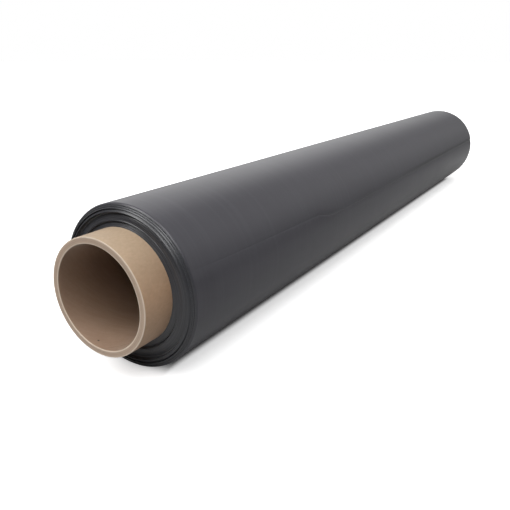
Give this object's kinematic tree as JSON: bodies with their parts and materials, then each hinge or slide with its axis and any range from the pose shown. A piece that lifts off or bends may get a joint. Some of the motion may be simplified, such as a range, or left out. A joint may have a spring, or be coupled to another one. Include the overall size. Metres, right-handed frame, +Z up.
{
  "type": "stretch wrap roll",
  "caption": "Long roll of dark stretch film wound on a cardboard tube that stands proud at both ends, lying on its side.",
  "frame": {"origin": "on the surface that the roll lies on, under the middle of its length and of its width", "axes": "+X along the roll, from the end nearer the camera in the picture to the other; +Z up; the film's free edge is on the -Y side"},
  "size_m": [0.532, 0.0748, 0.0746],
  "materials": {
    "cardboard": "smooth tan kraft paper, cut ends a paler pinkish brown",
    "film": "dark charcoal grey film, semi-gloss, with fine rings of turns on its ends"
  },
  "bodies": {
    "root": {"cardboard_tube": "cardboard", "wound_film": "film"}
  },
  "joints": []
}
